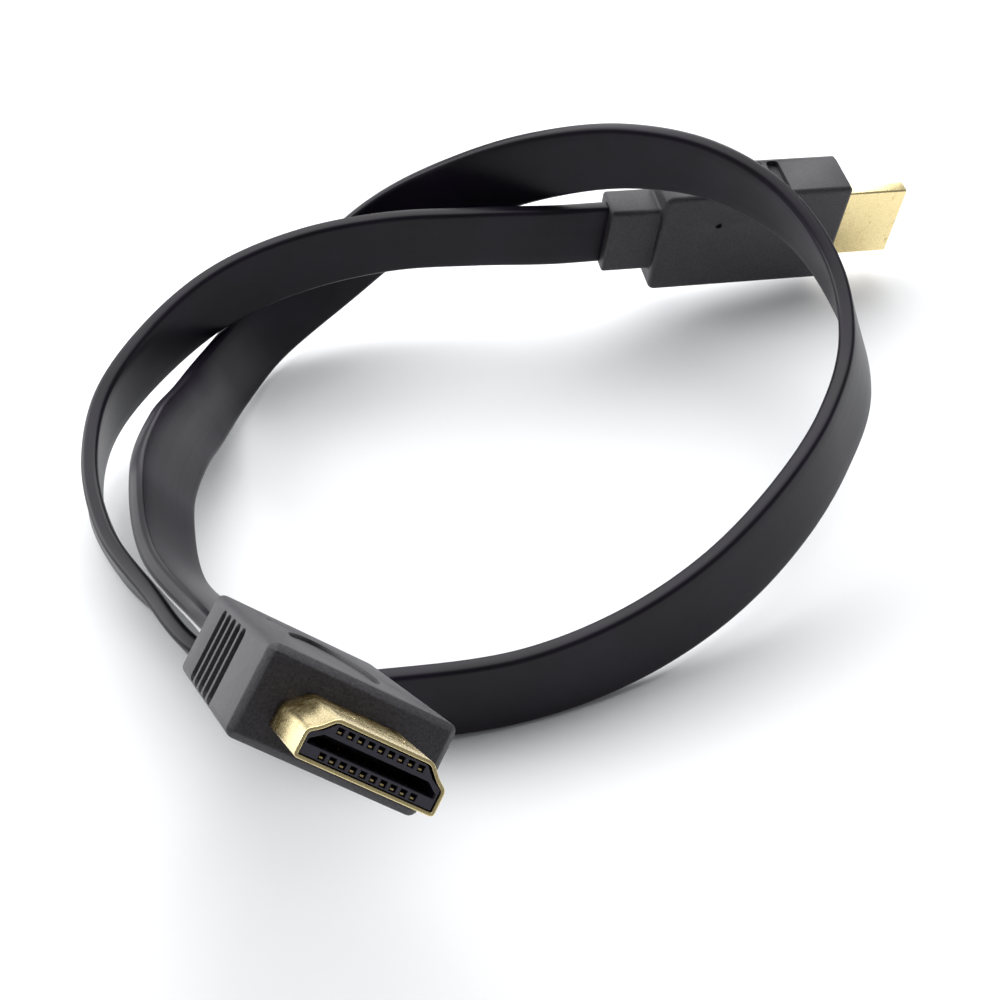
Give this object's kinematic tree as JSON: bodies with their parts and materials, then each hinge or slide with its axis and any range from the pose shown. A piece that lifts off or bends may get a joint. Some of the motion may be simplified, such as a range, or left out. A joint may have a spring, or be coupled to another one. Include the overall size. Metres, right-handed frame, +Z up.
{
  "type": "audio video cable",
  "caption": "Short flat ribbon cable for picture and sound, standing on its edge in a loose loop, with a moulded plug and plated metal shell at each end.",
  "frame": {"origin": "bottom centre of the bounding box, on the level surface the cable lies on", "axes": "+Z up; +X from the loop's left side to its right side, the way the rear plug's mouth points; +Y from the front plug to the rear plug"},
  "size_m": [0.141, 0.159, 0.0564],
  "materials": {
    "cable": "satin black soft jacket",
    "plug_body": "fine-grained black moulded plastic",
    "shell": "bright gold-coloured plating",
    "insulator": "smooth dark plastic",
    "contact": "gold-coloured plating"
  },
  "bodies": {
    "root": {"flat_cable": "cable", "rear_plug_body": "plug_body", "rear_shell": "shell", "rear_insulator": "insulator", "rear_contact_01": "contact", "rear_contact_02": "contact", "rear_contact_03": "contact", "rear_contact_04": "contact", "rear_contact_05": "contact", "rear_contact_06": "contact", "rear_contact_07": "contact", "rear_contact_08": "contact", "rear_contact_09": "contact", "rear_contact_10": "contact", "rear_contact_11": "contact", "rear_contact_12": "contact", "rear_contact_13": "contact", "rear_contact_14": "contact", "rear_contact_15": "contact", "rear_contact_16": "contact", "rear_contact_17": "contact", "rear_contact_18": "contact", "rear_contact_19": "contact", "front_plug_body": "plug_body", "front_shell": "shell", "front_insulator": "insulator", "front_contact_01": "contact", "front_contact_02": "contact", "front_contact_03": "contact", "front_contact_04": "contact", "front_contact_05": "contact", "front_contact_06": "contact", "front_contact_07": "contact", "front_contact_08": "contact", "front_contact_09": "contact", "front_contact_10": "contact", "front_contact_11": "contact", "front_contact_12": "contact", "front_contact_13": "contact", "front_contact_14": "contact", "front_contact_15": "contact", "front_contact_16": "contact", "front_contact_17": "contact", "front_contact_18": "contact", "front_contact_19": "contact"}
  },
  "joints": []
}
